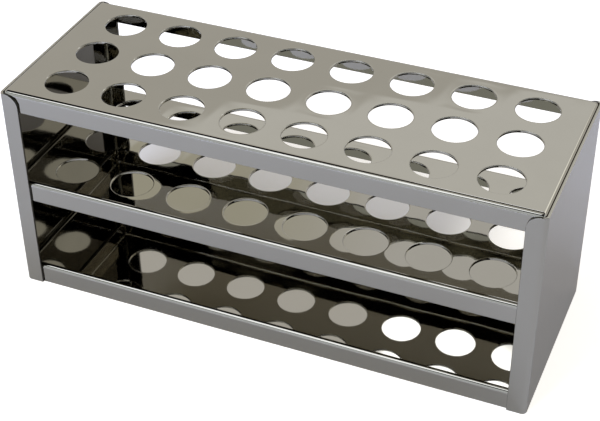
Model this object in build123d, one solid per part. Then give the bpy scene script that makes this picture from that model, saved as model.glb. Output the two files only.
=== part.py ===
from build123d import *

import os

# Millimetres, +Z up. The origin is on the surface that the rack stands on, below the middle of its box.
# X runs along the rack, Y from the front to the rear.

# The sheet and its folds
sheet = 1.0
inner_bend = 1.0
outer_bend = inner_bend + sheet

# The rack over its outer faces
length = 228.0
depth = 84.5

# Shelves: each is a flat tray, turned over, whose lips hang down
lip_height = 9.1
shelf_spacing = 44.1
shelf_names = ["bottom_shelf", "middle_shelf", "top_shelf"]
pierced_shelves = ["middle_shelf", "top_shelf"]
corner_notch = 2.6

# Holes for the tubes
hole_radius = 9.0
hole_pitch_x = 26.25
hole_pitch_y = 25.5
holes_along = 8
hole_rows = 3
hole_edge_round = 0.3

# End plates: a panel with an upright strip folded in at the front and at the rear
strip_width = 8.0
strip_corner = 6.0
plate_drop = 0.8

# What follows from the sizes above
shelf_tops = [lip_height + shelf_spacing * level for level in range(len(shelf_names))]
height = shelf_tops[-1]
plate_height = height - plate_drop
shelf_length = length - 2 * sheet
shelf_depth = depth - 2 * sheet


def tray(size_x, size_y, size_z, bend):
    """A block standing on z = 0 whose top edges and upright corners are rounded like a fold."""
    block = Pos(0, 0, size_z / 2) * Box(size_x, size_y, size_z)
    block = fillet(block.edges().filter_by(Axis.Z), bend)
    return fillet(block.faces().sort_by(Axis.Z)[-1].edges(), bend)


def folded_shelf():
    """A sheet folded down on four sides, standing on its lips. The lips stop short of the corners."""
    outside = tray(shelf_length, shelf_depth, lip_height, outer_bend)
    inside = tray(shelf_length - 2 * sheet, shelf_depth - 2 * sheet, lip_height - sheet, inner_bend)
    shelf = outside - inside
    lip_below_fold = lip_height - outer_bend
    for side_x in (-1, 1):
        for side_y in (-1, 1):
            centre = (side_x * (shelf_length - corner_notch) / 2, side_y * (shelf_depth - corner_notch) / 2)
            shelf -= Pos(*centre, lip_below_fold / 2) * Box(corner_notch, corner_notch, lip_below_fold)
    return shelf


def hole_places():
    """The middles of the holes, row by row from the front."""
    return GridLocations(hole_pitch_x, hole_pitch_y, holes_along, hole_rows)


def pierce(shelf):
    """Punches the holes. The punch leaves each upper edge slightly rounded."""
    for place in hole_places():
        shelf -= place * Cylinder(hole_radius, 4 * lip_height)
    upper_face = shelf.faces().filter_by(Plane.XY).sort_by(Axis.Z)[-1]
    rims = upper_face.edges().filter_by(GeomType.CIRCLE)
    rims = [rim for rim in rims if abs(rim.radius - hole_radius) < hole_edge_round]
    return fillet(rims, hole_edge_round)


def end_plate(side):
    """The plate at the left (side -1) or right (side 1) end, on z = 0, with its strips over the lips."""
    outside = Pos(0, 0, plate_height / 2) * Box(2 * strip_width, depth, plate_height)
    outside = fillet(outside.edges().filter_by(Axis.Z), outer_bend)
    inside = Pos(0, 0, plate_height / 2) * Box(2 * strip_width - 2 * sheet, depth - 2 * sheet, plate_height)
    inside = fillet(inside.edges().filter_by(Axis.Z), inner_bend)
    plate = outside - inside
    plate -= Pos(strip_width, 0, plate_height / 2) * Box(2 * strip_width, depth, plate_height)
    free_corners = plate.edges().filter_by(Axis.Y).sort_by(Axis.Z)
    free_corners = [edge for edge in free_corners if abs(edge.center().X) < sheet / 4 and edge.center().Z > 0]
    plate = fillet(free_corners, strip_corner)
    plate = Pos(strip_width - length / 2, 0, 0) * plate
    return plate if side < 0 else mirror(plate, about=Plane.YZ)


def write(name, piece):
    """Writes one piece under its node name."""
    piece.label = name
    export_step(piece, "parts/" + name + ".step")


os.makedirs("parts", exist_ok=True)
for name, top in zip(shelf_names, shelf_tops):
    shelf = folded_shelf()
    if name in pierced_shelves:
        shelf = pierce(shelf)
    write(name, Pos(0, 0, top - lip_height) * shelf)
write("left_end_plate", end_plate(-1))
write("right_end_plate", end_plate(1))
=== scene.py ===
import math

import bmesh
import bpy
from mathutils import Matrix, Vector


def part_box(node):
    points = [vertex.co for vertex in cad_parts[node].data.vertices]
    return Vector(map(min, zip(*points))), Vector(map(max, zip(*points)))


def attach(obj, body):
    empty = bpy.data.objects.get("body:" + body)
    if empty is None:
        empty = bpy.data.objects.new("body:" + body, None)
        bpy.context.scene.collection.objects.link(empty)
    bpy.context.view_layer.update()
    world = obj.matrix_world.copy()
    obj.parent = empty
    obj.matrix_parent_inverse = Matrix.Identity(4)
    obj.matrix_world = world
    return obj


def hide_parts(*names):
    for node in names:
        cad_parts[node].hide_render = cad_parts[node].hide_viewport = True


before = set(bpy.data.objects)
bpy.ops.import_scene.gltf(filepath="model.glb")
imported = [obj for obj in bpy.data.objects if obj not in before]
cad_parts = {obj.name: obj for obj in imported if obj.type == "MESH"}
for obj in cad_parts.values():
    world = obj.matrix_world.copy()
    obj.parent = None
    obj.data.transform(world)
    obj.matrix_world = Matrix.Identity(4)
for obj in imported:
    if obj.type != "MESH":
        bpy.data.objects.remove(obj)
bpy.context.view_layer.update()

# Sizes in millimetres, as the solids have them. The solids' own boxes give the rest.
MM = 0.001
sheet = 1.0
inner_bend = 1.0
outer_bend = inner_bend + sheet
corner_notch = 2.6
hole_radius = 9.0
hole_edge_round = 0.3
hole_pitch_x = 26.25
hole_pitch_y = 25.5
holes_along = 8
hole_rows = 3
strip_corner = 6.0

# What the tools leave on the sheet: the burr taken off each cut edge, and round each hole a narrow ring
# drawn down by the punch, in a shallow dish
deburr = 0.12
deburr_slant = 0.3 * deburr
rollover_reach = 0.75
rollover_depth = 0.008
dish_depth = 0.02

# How finely the mesh is divided, how close its lines lie beside a fold or an edge, and what is merged
bend_steps = 12
corner_steps = 8
cell_side_steps = 16
hole_edge_steps = 5
panel_steps = 16
hold = 0.15
seam = 0.0005


def linear(hex_colour):
    """An sRGB hex value as linear RGBA."""
    parts = [int(hex_colour[at:at + 2], 16) / 255 for at in (1, 3, 5)]
    return [part / 12.92 if part <= 0.04045 else ((part + 0.055) / 1.055) ** 2.4 for part in parts] + [1.0]


def add(tree, kind, settings=None, inputs=None):
    """Adds a node. Settings are its properties, and inputs are values or the sockets that feed it."""
    made = tree.nodes.new(kind)
    for name, value in (settings or {}).items():
        setattr(made, name, value)
    for name, value in (inputs or {}).items():
        if isinstance(value, bpy.types.NodeSocket):
            tree.links.new(value, made.inputs[name])
        else:
            made.inputs[name].default_value = value
    return made


# Meshes

def quarter(steps):
    """The angles of a quarter turn, ends included."""
    return [math.pi / 2 * step / steps for step in range(steps + 1)]


def turn_outwards(shell):
    """Turns the faces outwards and shades them smooth, but leaves the many-sided ends of a fold flat."""
    bmesh.ops.recalc_face_normals(shell, faces=shell.faces)
    for face in shell.faces:
        face.smooth = len(face.verts) <= 4


def clean_up(shell):
    """Merges what lies together, and turns the faces outwards."""
    bmesh.ops.remove_doubles(shell, verts=shell.verts, dist=seam)
    turn_outwards(shell)


def as_object(name, shell):
    """Makes an object of a shell in millimetres. It stays at the origin, with its place in its mesh."""
    shell.transform(Matrix.Scale(MM, 4))
    mesh = bpy.data.meshes.new(name)
    shell.to_mesh(mesh)
    shell.free()
    piece = bpy.data.objects.new(name, mesh)
    bpy.context.scene.collection.objects.link(piece)
    return piece


def bridge(shell, line_a, line_b):
    """Quads between two lines of vertices."""
    for a, b, c, d in zip(line_a, line_a[1:], line_b[1:], line_b):
        shell.faces.new((a, b, c, d))


def side_places(cells, pitch):
    """Where the mesh lines of a row of cells reach its edge. Each cell's lines spread like rays from its
    hole."""
    places = []
    for cell in range(cells):
        middle = (cell - (cells - 1) / 2) * pitch
        for step in range(cell_side_steps):
            places.append(middle + pitch / 2 * math.tan((step / cell_side_steps - 0.5) * math.pi / 2))
    return places + [cells * pitch / 2]


def fold_lines(half_x, half_y):
    """The mesh lines round a shelf, counterclockwise from the front left, for half its size over the lips.

    Each is its start on the field of cells, its place on the fold line, the place just inside that,
    the way outwards, and whether a lip hangs there."""
    field = (holes_along * hole_pitch_x / 2, hole_rows * hole_pitch_y / 2)
    flat = (half_x - outer_bend, half_y - outer_bend)
    lip_end = (half_x - corner_notch, half_y - corner_notch)
    places = (side_places(holes_along, hole_pitch_x), side_places(hole_rows, hole_pitch_y))
    lines = []
    for turn in range(4):
        long_way, out_way = turn % 2, 1 - turn % 2
        along = Vector(((1, 0), (0, 1), (-1, 0), (0, -1))[turn])
        out = Vector(((0, -1), (1, 0), (0, 1), (-1, 0))[turn])
        for place in places[long_way]:
            start = along * place + out * field[out_way]
            fold = along * place * lip_end[long_way] / field[long_way] + out * flat[out_way]
            lines.append((start, fold, fold - out * hold, out, True))
        start = along * field[long_way] + out * field[out_way]
        corner = along * flat[long_way] + out * flat[out_way]
        for angle in quarter(corner_steps):
            way = out * math.cos(angle) + along * math.sin(angle)
            lines.append((start, corner, corner - (out + along) * hold, way, False))
    return lines


def folded_blank(half_x, half_y, lip_height):
    """The folded sheet without its field of cells, its top on z = 0, for half its size over the lips."""
    shell = bmesh.new()
    # A lip's section from its fold down, round its cut edge and up again
    lip_section = [(outer_bend, -outer_bend - hold),
                   (outer_bend, -lip_height + deburr + hold),
                   (outer_bend, -lip_height + deburr),
                   (outer_bend - deburr_slant, -lip_height + deburr_slant),
                   (outer_bend - deburr, -lip_height),
                   (inner_bend + deburr, -lip_height),
                   (inner_bend + deburr_slant, -lip_height + deburr_slant),
                   (inner_bend, -lip_height + deburr),
                   (inner_bend, -lip_height + deburr + hold),
                   (inner_bend, -outer_bend - hold)]
    made = []
    for start, fold, inside, way, has_lip in fold_lines(half_x, half_y):
        top = [(start, 0.0), (inside, 0.0)]
        under = [(inside, -sheet), (start, -sheet)]
        for angle in quarter(bend_steps):
            drop = 1 - math.cos(angle)
            top.append((fold + way * outer_bend * math.sin(angle), -outer_bend * drop))
            under.insert(0, (fold + way * inner_bend * math.sin(angle), -sheet - inner_bend * drop))
        lip = [(fold + way * out, z) for out, z in lip_section] if has_lip else []
        made.append([[shell.verts.new((*place, z)) for place, z in part] for part in (top, lip, under)])
    for here, there in zip(made, made[1:] + made[:1]):
        if here[1] and there[1]:
            bridge(shell, sum(here, []), sum(there, []))
            continue
        bridge(shell, here[0], there[0])
        bridge(shell, [here[0][-1], here[2][0]], [there[0][-1], there[2][0]])
        bridge(shell, here[2], there[2])
        for end in (here, there):
            if end[1]:
                shell.faces.new([end[0][-1], *end[1], end[2][0]])
    return shell


def fill_plain(shell):
    """Fills a folded blank with a field without holes. Its outline is that of the punched one."""
    for z in (0.0, -sheet):
        rows = [[shell.verts.new((x, y, z)) for x in side_places(holes_along, hole_pitch_x)]
                for y in side_places(hole_rows, hole_pitch_y)]
        for here, there in zip(rows, rows[1:]):
            bridge(shell, here, there)


def punched_cell():
    """One hole with the sheet round it. The punch draws the sheet down to the hole and rounds its edge."""
    reach = hole_radius + rollover_reach
    field_shares = (1.0, 0.75, 0.5, 0.25, 0.0)
    ring_width = rollover_reach - hole_edge_round
    rows = [("field", share, 0.0) for share in field_shares]
    for share in (0.84, 0.68, 0.52, 0.38, 0.26, 0.14):
        rows.append(("ring", hole_radius + hole_edge_round + ring_width * share,
                     -rollover_depth * (1 - share) ** 2))
    for angle in quarter(hole_edge_steps):
        rows.append(("ring", hole_radius + hole_edge_round * (1 - math.sin(angle)),
                     -rollover_depth - hole_edge_round * (1 - math.cos(angle))))
    low = -sheet - rollover_depth
    rows.append(("ring", hole_radius, low + deburr))
    rows.append(("ring", hole_radius + deburr_slant, low + deburr_slant))
    rows.append(("ring", hole_radius + deburr, low))
    for share in (0.26, 0.52, 0.84):
        rows.append(("ring", hole_radius + hole_edge_round + ring_width * share,
                     -sheet - rollover_depth * (1 - share) ** 2))
    rows += [("field", share, -sheet) for share in reversed(field_shares)]

    shell = bmesh.new()
    near_hole = shell.verts.layers.float.new("near_hole")
    lines = []
    ring = 4 * cell_side_steps
    for step in range(ring):
        angle = 2 * math.pi * step / ring
        ray = Vector((math.cos(angle), math.sin(angle)))
        edge = ray / max(abs(ray.x), abs(ray.y))
        edge = Vector((edge.x * hole_pitch_x / 2, edge.y * hole_pitch_y / 2))
        line = []
        for kind, size, z in rows:
            share = size if kind == "field" else 0.0
            place = (ray * reach).lerp(edge, share) if kind == "field" else ray * size
            vertex = shell.verts.new((*place, z))
            vertex[near_hole] = (1 - share) ** 2 * (1 + 2 * share)
            line.append(vertex)
        lines.append(line)
    for here, there in zip(lines, lines[1:] + lines[:1]):
        bridge(shell, here, there)
    clean_up(shell)
    return shell


def punched_field_tree():
    """Geometry Nodes: sets a punched cell at each hole's place in a folded blank, and dishes each a little
    differently."""
    tree = bpy.data.node_groups.new("punched field", "GeometryNodeTree")
    tree.interface.new_socket("Shelf", in_out="OUTPUT", socket_type="NodeSocketGeometry")
    for name, kind in (("Folded blank", "Geometry"), ("Punched cell", "Object"), ("Finish", "Material"),
                       ("Holes along", "Int"), ("Hole rows", "Int"),
                       ("Pitch along", "Float"), ("Pitch across", "Float"),
                       ("Dish depth", "Float"), ("Seam", "Float"), ("Seed", "Int")):
        tree.interface.new_socket(name, in_out="INPUT", socket_type="NodeSocket" + kind)
    given = add(tree, "NodeGroupInput").outputs

    spans = []
    for count, pitch in (("Holes along", "Pitch along"), ("Hole rows", "Pitch across")):
        gaps = add(tree, "ShaderNodeMath", {"operation": "SUBTRACT"}, {0: given[count], 1: 1.0})
        span = add(tree, "ShaderNodeMath", {"operation": "MULTIPLY"}, {0: gaps.outputs[0], 1: given[pitch]})
        spans.append(span.outputs[0])
    places = add(tree, "GeometryNodeMeshGrid", inputs={
        "Size X": spans[0], "Size Y": spans[1],
        "Vertices X": given["Holes along"], "Vertices Y": given["Hole rows"]})
    cell = add(tree, "GeometryNodeObjectInfo", inputs={"Object": given["Punched cell"], "As Instance": True})
    cells = add(tree, "GeometryNodeInstanceOnPoints", inputs={
        "Points": places.outputs["Mesh"], "Instance": cell.outputs["Geometry"]})

    # Each cell's dish is at least 0.4 of the deepest
    least = add(tree, "ShaderNodeMath", {"operation": "MULTIPLY"}, {0: given["Dish depth"], 1: 0.4})
    chance = add(tree, "FunctionNodeRandomValue", {"data_type": "FLOAT"}, {
        2: least.outputs[0], 3: given["Dish depth"], "Seed": given["Seed"]})
    noted = add(tree, "GeometryNodeStoreNamedAttribute", {"data_type": "FLOAT", "domain": "INSTANCE"}, {
        "Geometry": cells.outputs["Instances"], "Name": "dish", "Value": chance.outputs[1]})
    real = add(tree, "GeometryNodeRealizeInstances", inputs={"Geometry": noted.outputs["Geometry"]})
    dish = add(tree, "GeometryNodeInputNamedAttribute", {"data_type": "FLOAT"}, {"Name": "dish"})
    near = add(tree, "GeometryNodeInputNamedAttribute", {"data_type": "FLOAT"}, {"Name": "near_hole"})
    drop = add(tree, "ShaderNodeMath", {"operation": "MULTIPLY"}, {0: dish.outputs[0], 1: near.outputs[0]})
    down = add(tree, "ShaderNodeMath", {"operation": "MULTIPLY"}, {0: drop.outputs[0], 1: -1.0})
    offset = add(tree, "ShaderNodeCombineXYZ", inputs={"Z": down.outputs[0]})
    dished = add(tree, "GeometryNodeSetPosition", inputs={
        "Geometry": real.outputs["Geometry"], "Offset": offset.outputs[0]})

    joined = add(tree, "GeometryNodeJoinGeometry")
    tree.links.new(given["Folded blank"], joined.inputs[0])
    tree.links.new(dished.outputs["Geometry"], joined.inputs[0])
    merged = add(tree, "GeometryNodeMergeByDistance", inputs={
        "Geometry": joined.outputs[0], "Distance": given["Seam"]})
    single = add(tree, "GeometryNodeRealizeInstances", inputs={"Geometry": merged.outputs["Geometry"]})
    finished = add(tree, "GeometryNodeSetMaterial", inputs={
        "Geometry": single.outputs["Geometry"], "Material": given["Finish"]})
    add(tree, "NodeGroupOutput", inputs={"Shelf": finished.outputs["Geometry"]})
    return tree


def run_tree(piece, tree, values):
    """Gives a piece the tree's result as its plain mesh."""
    modifier = piece.modifiers.new(tree.name, "NODES")
    modifier.node_group = tree
    for item in tree.interface.items_tree:
        if item.in_out == "INPUT" and item.name in values:
            modifier[item.identifier] = values[item.name]
    bpy.context.view_layer.update()
    evaluated = piece.evaluated_get(bpy.context.evaluated_depsgraph_get())
    made = bpy.data.meshes.new_from_object(evaluated)
    piece.modifiers.remove(modifier)
    piece.data = made
    shell = bmesh.new()
    shell.from_mesh(made)
    turn_outwards(shell)
    shell.to_mesh(made)
    shell.free()


def strip_lines(side, half_depth, height, strip_width):
    """The mesh lines of an end's upright strip, from its free edge to its fold. Each is its place from above,
    the way outwards, its top, and how far its edge is drawn in for the burr."""
    found = []
    for step_in in (0.0, deburr_slant, deburr):
        angle = math.acos(1 - step_in / strip_corner)
        found.append((step_in, strip_corner * math.sin(angle), deburr - step_in))
    first = math.acos(1 - deburr / strip_corner)
    for step in range(1, bend_steps):
        angle = first + (math.pi / 2 - first) * step / bend_steps
        found.append((strip_corner * (1 - math.cos(angle)), strip_corner * math.sin(angle), 0.0))
    found.append((strip_width - outer_bend - hold, strip_corner, 0.0))
    return [(Vector((strip_width - step_in, side * half_depth)), Vector((0, side)),
             height - strip_corner + rise, inset) for step_in, rise, inset in found]


def end_sheet(half_depth, height, strip_width):
    """The left end: a panel with a strip folded in at each side. It stands on z = 0, outside on x = 0."""
    lines = strip_lines(-1, half_depth, height, strip_width)
    for side in (-1, 1):
        centre = Vector((outer_bend, side * (half_depth - outer_bend)))
        for angle in quarter(bend_steps)[::-side]:
            way = Vector((-math.sin(angle), side * math.cos(angle)))
            lines.append((centre + way * outer_bend, way, height, 0.0))
        if side < 0:
            reach = half_depth - outer_bend - hold
            for step in range(panel_steps + 1):
                place = Vector((0, reach * (2 * step / panel_steps - 1)))
                lines.append((place, Vector((-1, 0)), height, 0.0))
    lines += strip_lines(1, half_depth, height, strip_width)[::-1]

    shell = bmesh.new()
    made = []
    for outer, way, top, inset in lines:
        low, high = inset, top - inset
        rise = [low + deburr, low + deburr + hold]
        span = high - low - 2 * (deburr + hold)
        rise += [low + deburr + hold + span * step / panel_steps for step in range(1, panel_steps)]
        rise += [high - deburr - hold, high - deburr]
        skin = outer - way * inset
        back = outer - way * (sheet - inset)
        # Up the outer skin, over the top edge, down the back and under the lower edge
        ring = [(skin, z) for z in rise]
        ring += [(skin - way * deburr_slant, high - deburr_slant), (skin - way * deburr, high)]
        ring += [(back + way * deburr, high), (back + way * deburr_slant, high - deburr_slant)]
        ring += [(back, z) for z in reversed(rise)]
        ring += [(back + way * deburr_slant, low + deburr_slant), (back + way * deburr, low)]
        ring += [(skin - way * deburr, low), (skin - way * deburr_slant, low + deburr_slant)]
        made.append([shell.verts.new((*place, z)) for place, z in ring])
    for here, there in zip(made, made[1:]):
        bridge(shell, here + here[:1], there + there[:1])
    shell.faces.new(made[0])
    shell.faces.new(made[-1])
    return shell


# Finishes

def new_material(name):
    """A material with an empty tree."""
    material = bpy.data.materials.new(name)
    material.use_nodes = True
    material.node_tree.nodes.clear()
    return material, material.node_tree


def polished_sheet(name, colour, grey, roughness):
    """Aluminium sheet, rolled bright. It gives the eye a warm dark mirror that is a little wavy, with faint
    smears where it is a shade greyer and duller."""
    wave_length, wave_height, smear_length = 45 * MM, 0.15 * MM, 14 * MM
    material, tree = new_material(name)
    where = add(tree, "ShaderNodeTexCoord").outputs["Object"]
    wave = add(tree, "ShaderNodeTexNoise", inputs={"Vector": where, "Scale": 1 / wave_length, "Detail": 1.0})
    flatness = add(tree, "ShaderNodeBump", inputs={
        "Height": wave.outputs["Fac"], "Strength": 1.0, "Distance": wave_height})
    smear = add(tree, "ShaderNodeTexNoise", inputs={
        "Vector": where, "Scale": 1 / smear_length, "Detail": 3.0})
    tint = add(tree, "ShaderNodeMix", {"data_type": "RGBA"}, {
        "Factor": smear.outputs["Fac"], "A": linear(colour), "B": linear(grey)})
    gloss = add(tree, "ShaderNodeMapRange", inputs={
        "Value": smear.outputs["Fac"], "From Min": 0.3, "From Max": 0.7,
        "To Min": roughness * 0.7, "To Max": roughness * 1.4})
    shader = add(tree, "ShaderNodeBsdfPrincipled", inputs={
        "Base Color": tint.outputs["Result"], "Metallic": 1.0, "Roughness": gloss.outputs["Result"],
        "Normal": flatness.outputs["Normal"]})
    add(tree, "ShaderNodeOutputMaterial", inputs={"Surface": shader.outputs["BSDF"]})
    return material


def sheared_edge_painted_shade():
    """The sheet's cut edges, sheared and left unpolished, and partly painted shade: they are made very dark,
    so the seams and lower edges show thin dark shadow lines, a little streaked."""
    streak_length = 1.5 * MM
    material, tree = new_material("sheared_aluminium_edge_painted_shade")
    where = add(tree, "ShaderNodeTexCoord").outputs["Object"]
    streak = add(tree, "ShaderNodeTexNoise", inputs={
        "Vector": where, "Scale": 1 / streak_length, "Detail": 2.0})
    tint = add(tree, "ShaderNodeMix", {"data_type": "RGBA"}, {
        "Factor": streak.outputs["Fac"], "A": linear("#34322E"), "B": linear("#4E4B46")})
    shader = add(tree, "ShaderNodeBsdfPrincipled", inputs={
        "Base Color": tint.outputs["Result"], "Metallic": 1.0, "Roughness": 0.35})
    add(tree, "ShaderNodeOutputMaterial", inputs={"Surface": shader.outputs["BSDF"]})
    return material


# The shelves are buffed most, and the ends' outsides a little less. The ends' insides are painted shade: a
# darker copy of the same sheet that mirrors little more than a third as much, and keeps both tiers dark.
finishes = {
    "pierced_sheet": polished_sheet("polished_aluminium_sheet", "#B0AC9E", "#ACA89A", roughness=0.028),
    "plain_sheet": polished_sheet("polished_aluminium_sheet_plain", "#B0AC9E", "#ACA89A", roughness=0.028),
    "end_sheet": polished_sheet("polished_aluminium_ends", "#B0AC9E", "#ACA89A", roughness=0.05),
    "end_inside_painted_shade": polished_sheet("painted_shade_aluminium_inside", "#6F6C63", "#65635B", roughness=0.06),
    "cut_edge": sheared_edge_painted_shade(),
}


def set_finish(piece, finish, chosen):
    """Gives one more finish to the faces that the test chooses."""
    piece.data.materials.append(finish)
    slot = len(piece.data.materials) - 1
    for face in piece.data.polygons:
        if chosen(face):
            face.material_index = slot


# The rack

def shelf(name, node, pierced, seed):
    """One shelf in its node's place."""
    low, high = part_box(node)
    middle = (low + high) / 2
    size = (high - low) / MM
    blank = folded_blank(size.x / 2, size.y / 2, size.z)
    slot = "pierced_sheet" if pierced else "plain_sheet"
    if not pierced:
        fill_plain(blank)
    clean_up(blank)
    piece = as_object(name, blank)
    if pierced:
        run_tree(piece, field_tree, {
            "Punched cell": cell, "Finish": finishes[slot],
            "Holes along": holes_along, "Hole rows": hole_rows,
            "Pitch along": hole_pitch_x * MM, "Pitch across": hole_pitch_y * MM,
            "Dish depth": dish_depth * MM, "Seam": seam * MM, "Seed": seed})
    else:
        piece.data.materials.append(finishes[slot])
    piece.data.transform(Matrix.Translation((middle.x, middle.y, high.z)))
    # Painted shade: the lips' lower edges get the dark edge finish, as a thin shadow line along the floor.
    set_finish(piece, finishes["cut_edge"], lambda face: face.center.z < low.z + deburr * MM / 2)
    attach(piece, "root")
    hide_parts(node)


def end(name, node, side):
    """The end plate at the left (side -1) or right (side 1), in its node's place."""
    low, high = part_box(node)
    size = (high - low) / MM
    outer_x = low.x if side < 0 else high.x
    shell = end_sheet(size.y / 2, size.z, size.x)
    shell.transform(Matrix.Translation((-abs(outer_x) / MM, 0, 0)))
    if side > 0:
        shell.transform(Matrix.Scale(-1, 4, (1, 0, 0)))
    clean_up(shell)
    piece = as_object(name, shell)
    piece.data.materials.append(finishes["end_sheet"])
    # Painted shade: the ends' inner faces get the darker copy of the sheet, so both tiers look dark.
    set_finish(piece, finishes["end_inside_painted_shade"], lambda face: face.normal.x * side < -0.7)
    # Painted shade: the strips' free, top and lower edges get the dark edge finish, as thin shadow lines in
    # the seams.
    set_finish(piece, finishes["cut_edge"], lambda face: (
        abs(face.normal.y) < 0.7 and abs(face.center.x - outer_x) > outer_bend * MM))
    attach(piece, "root")
    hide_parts(node)


field_tree = punched_field_tree()
cell = as_object("punched_cell", punched_cell())
shelf("top_shelf_sheet", "top_shelf", True, 3)
shelf("middle_shelf_sheet", "middle_shelf", True, 8)
shelf("bottom_shelf_sheet", "bottom_shelf", False, 0)
end("left_end_sheet", "left_end_plate", -1)
end("right_end_sheet", "right_end_plate", 1)
bpy.data.objects.remove(cell)


# The room

def seen_in_metal(tree, ray):
    """1 for a ray that metal mirrors or glass lets through, and 0 for any other."""
    either = add(tree, "ShaderNodeMath", {"operation": "MAXIMUM"}, {
        0: ray["Is Glossy Ray"], 1: ray["Is Transmission Ray"]})
    return either.outputs[0]


def outside_of(tree, where, middle, size, fade):
    """0 in a rectangle on the floor, rising to 1 over the fade round it. In millimetres."""
    from_middle = add(tree, "ShaderNodeVectorMath", {"operation": "SUBTRACT"}, {
        0: where, 1: (middle[0] * MM, middle[1] * MM, 0.0)})
    folded = add(tree, "ShaderNodeVectorMath", {"operation": "ABSOLUTE"}, {0: from_middle.outputs[0]})
    beyond = add(tree, "ShaderNodeVectorMath", {"operation": "SUBTRACT"}, {
        0: folded.outputs[0], 1: (size[0] / 2 * MM, size[1] / 2 * MM, 0.0)})
    outside = add(tree, "ShaderNodeVectorMath", {"operation": "MAXIMUM"}, {
        0: beyond.outputs[0], 1: (0.0, 0.0, 0.0)})
    away = add(tree, "ShaderNodeVectorMath", {"operation": "LENGTH"}, {0: outside.outputs[0]})
    share = add(tree, "ShaderNodeMapRange", {"interpolation_type": "SMOOTHSTEP"}, {
        "Value": away.outputs["Value"], "From Min": 0.0, "From Max": fade * MM})
    return share.outputs["Result"]


def pale_floor():
    """Matt white paper, painted a little greyer and warmer close round the rack as painted shade. It takes
    the rack's shadow. It is lifted to white for the eye, less so in a rectangle close behind the rack as a
    painted shadow, and hardly at all in metal."""
    lift_in_shadow, lift_in_open, lift_in_metal = 0.19, 0.74, 0.02
    material, tree = new_material("matt_white_paper")
    where = add(tree, "ShaderNodeTexCoord").outputs["Object"]
    ray = add(tree, "ShaderNodeLightPath").outputs
    # Painted shadow: the lift is smaller in a rectangle close behind the rack.
    lift_with_painted_shadow = add(tree, "ShaderNodeMapRange", inputs={
        "Value": outside_of(tree, where, middle=(-39, 48), size=(157, 50), fade=45),
        "To Min": lift_in_shadow, "To Max": lift_in_open})
    # Painted shade: the paper's colour is greyer and warmer close round the rack.
    painted_shade_tone = add(tree, "ShaderNodeMix", {"data_type": "RGBA"}, {
        "Factor": outside_of(tree, where, middle=(-22, 32), size=(175, 106), fade=80),
        "A": linear("#CFCBC1"), "B": linear("#E8E8E8")})
    lift = add(tree, "ShaderNodeMath", {"operation": "MULTIPLY"}, {
        0: seen_in_metal(tree, ray), 1: lift_in_metal})
    seen = add(tree, "ShaderNodeMath", {"operation": "MULTIPLY_ADD"}, {
        0: ray["Is Camera Ray"], 1: lift_with_painted_shadow.outputs["Result"], 2: lift.outputs[0]})
    paper = add(tree, "ShaderNodeBsdfDiffuse", inputs={"Color": painted_shade_tone.outputs["Result"]})
    glow = add(tree, "ShaderNodeEmission", inputs={"Color": linear("#FFFCF3"), "Strength": seen.outputs[0]})
    both = add(tree, "ShaderNodeAddShader", inputs={0: paper.outputs[0], 1: glow.outputs[0]})
    add(tree, "ShaderNodeOutputMaterial", inputs={"Surface": both.outputs[0]})
    return material


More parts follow.
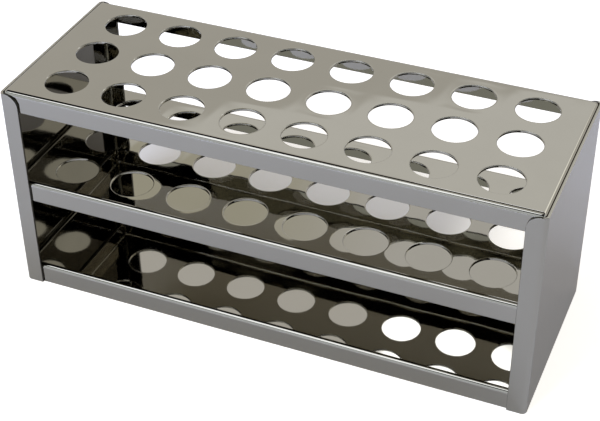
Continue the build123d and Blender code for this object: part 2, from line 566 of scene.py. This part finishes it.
def pale_room():
    """The room as the metal shows it. Behind the rack stand a wall, a window over it, and over that a paler
    wall with a skylight to its right. In front is a cool light under a dark ceiling, with a dark place on the
    right, and overhead it is pale. The eye sees plain white, and what isn't metal gets an even warm light."""
    world = bpy.data.worlds.new("pale room")
    world.use_nodes = True
    tree = world.node_tree
    tree.nodes.clear()
    way = add(tree, "ShaderNodeTexCoord").outputs["Generated"]
    ray = add(tree, "ShaderNodeLightPath").outputs

    # Each part begins where a way's share along an axis passes from the first number to the second
    parts = {
        "window": ((0.085, 0.0, 0.996), 0.498, 0.510),
        "over window": ((-0.134, -0.134, 0.982), 0.494, 0.506),
        "right": ((1.0, 0.0, 0.0), -0.36, -0.24),
        "high wall": ((-0.222, -0.244, 0.944), 0.475, 0.487),
        "front": ((0.0, 1.0, 0.0), 0.3, -0.3),
        "front ceiling": ((0.0, 0.0, 1.0), 0.605, 0.63),
        "ceiling": ((0.0, 0.0, 1.0), 0.68, 0.76),
        "overhead": ((0.0, 0.0, 1.0), 0.935, 0.965),
        "skylight": ((0.946, 0.326, 0.0), -0.004, 0.004),
        "dark place": ((0.452, -0.695, 0.559), 0.96, 0.98),
    }
    share = {}
    for name, (axis, start, full) in parts.items():
        along = add(tree, "ShaderNodeVectorMath", {"operation": "DOT_PRODUCT"}, {0: way, 1: axis})
        share[name] = add(tree, "ShaderNodeMapRange", {"interpolation_type": "SMOOTHSTEP"}, {
            "Value": along.outputs["Value"], "From Min": start, "From Max": full}).outputs["Result"]

    colour = {"data_type": "RGBA"}
    dark = linear("#101010")
    skylight = [3.0, 3.1, 3.5, 1.0]
    over_window = add(tree, "ShaderNodeMix", colour, {
        "Factor": share["right"], "A": linear("#D3D1C7"), "B": linear("#E7E7EC")})
    high_wall = add(tree, "ShaderNodeMix", colour, {
        "Factor": share["skylight"], "A": linear("#E9E8EC"), "B": skylight})
    front = add(tree, "ShaderNodeMix", colour, {
        "Factor": share["front ceiling"], "A": linear("#E8F0FF"), "B": dark})
    shown = linear("#DCDBDC")
    for name, filling in (("window", linear("#F9FAFF")),
                          ("over window", over_window.outputs["Result"]),
                          ("high wall", high_wall.outputs["Result"]),
                          ("front", front.outputs["Result"]),
                          ("ceiling", dark),
                          ("overhead", linear("#D0D0D0")),
                          ("dark place", dark)):
        layer = add(tree, "ShaderNodeMix", colour, {"Factor": share[name], "A": shown, "B": filling})
        shown = layer.outputs["Result"]
    lighting = add(tree, "ShaderNodeMix", colour, {
        "Factor": seen_in_metal(tree, ray), "A": linear("#A59F96"), "B": shown})
    seen = add(tree, "ShaderNodeMix", colour, {
        "Factor": ray["Is Camera Ray"], "A": lighting.outputs["Result"], "B": linear("#FFFFFF")})
    back = add(tree, "ShaderNodeBackground", inputs={"Color": seen.outputs["Result"], "Strength": 1.0})
    add(tree, "ShaderNodeOutputWorld", inputs={"Surface": back.outputs[0]})
    return world


def softbox(name, place, size, power, colour, mirrored):
    """A soft light that faces the rack, with its place and size in metres and its power in watts."""
    lamp = bpy.data.lights.new(name, "AREA")
    lamp.shape = "RECTANGLE"
    lamp.size, lamp.size_y = size
    lamp.energy = power
    lamp.color = linear(colour)[:3]
    light = bpy.data.objects.new(name, lamp)
    light.location = place
    light.rotation_mode = "QUATERNION"
    light.rotation_quaternion = Vector(place).to_track_quat("Z", "Y")
    light.visible_camera = False
    light.visible_glossy = mirrored
    bpy.context.scene.collection.objects.link(light)


def room():
    """A wide pale floor, a pale room and five soft lights. The metal mirrors the two that hang high, and the
    other three light the floor that it mirrors."""
    floor_reach = 4000.0
    shell = bmesh.new()
    bmesh.ops.create_grid(shell, x_segments=1, y_segments=1, size=floor_reach)
    floor = as_object("floor", shell)
    floor.data.materials.append(pale_floor())
    bpy.context.scene.world = pale_room()
    softbox("overhead_light", (-0.38, -0.5, 1.08), (0.7, 0.6), 3.4, "#E8EEFF", mirrored=True)
    softbox("rear_light", (0.75, 1.05, 0.88), (0.6, 0.4), 0.6, "#FFFFFF", mirrored=True)
    softbox("front_light", (-0.42, -0.86, 0.5), (0.5, 0.5), 7.8, "#BCCEFF", mirrored=False)
    softbox("left_light", (-0.5, -0.4, 0.35), (0.3, 0.3), 0.9, "#BCC8FC", mirrored=False)
    softbox("right_light", (0.5, 0.5, 0.4), (0.3, 0.3), 1.6, "#C0D0FF", mirrored=False)


def camera():
    """The photograph's viewpoint: close above the right front corner, a little turned. In degrees and
    millimetres."""
    azimuth, elevation, roll = (math.radians(angle) for angle in (23.057, 36.549, -0.608))
    place = (190.42, -446.88, 400.03)
    lens = bpy.data.cameras.new("camera")
    lens.sensor_width = 36.0
    lens.lens = 85.29
    eye = bpy.data.objects.new("camera", lens)
    back = Vector((math.sin(azimuth) * math.cos(elevation), -math.cos(azimuth) * math.cos(elevation),
                   math.sin(elevation)))
    turn = back.to_track_quat("Z", "Y").to_matrix() @ Matrix.Rotation(roll, 3, "Z")
    eye.rotation_mode = "QUATERNION"
    eye.rotation_quaternion = turn.to_quaternion()
    eye.location = Vector(place) * MM
    bpy.context.scene.collection.objects.link(eye)
    bpy.context.scene.camera = eye


room()
camera()
bpy.context.scene.view_settings.view_transform = "Standard"
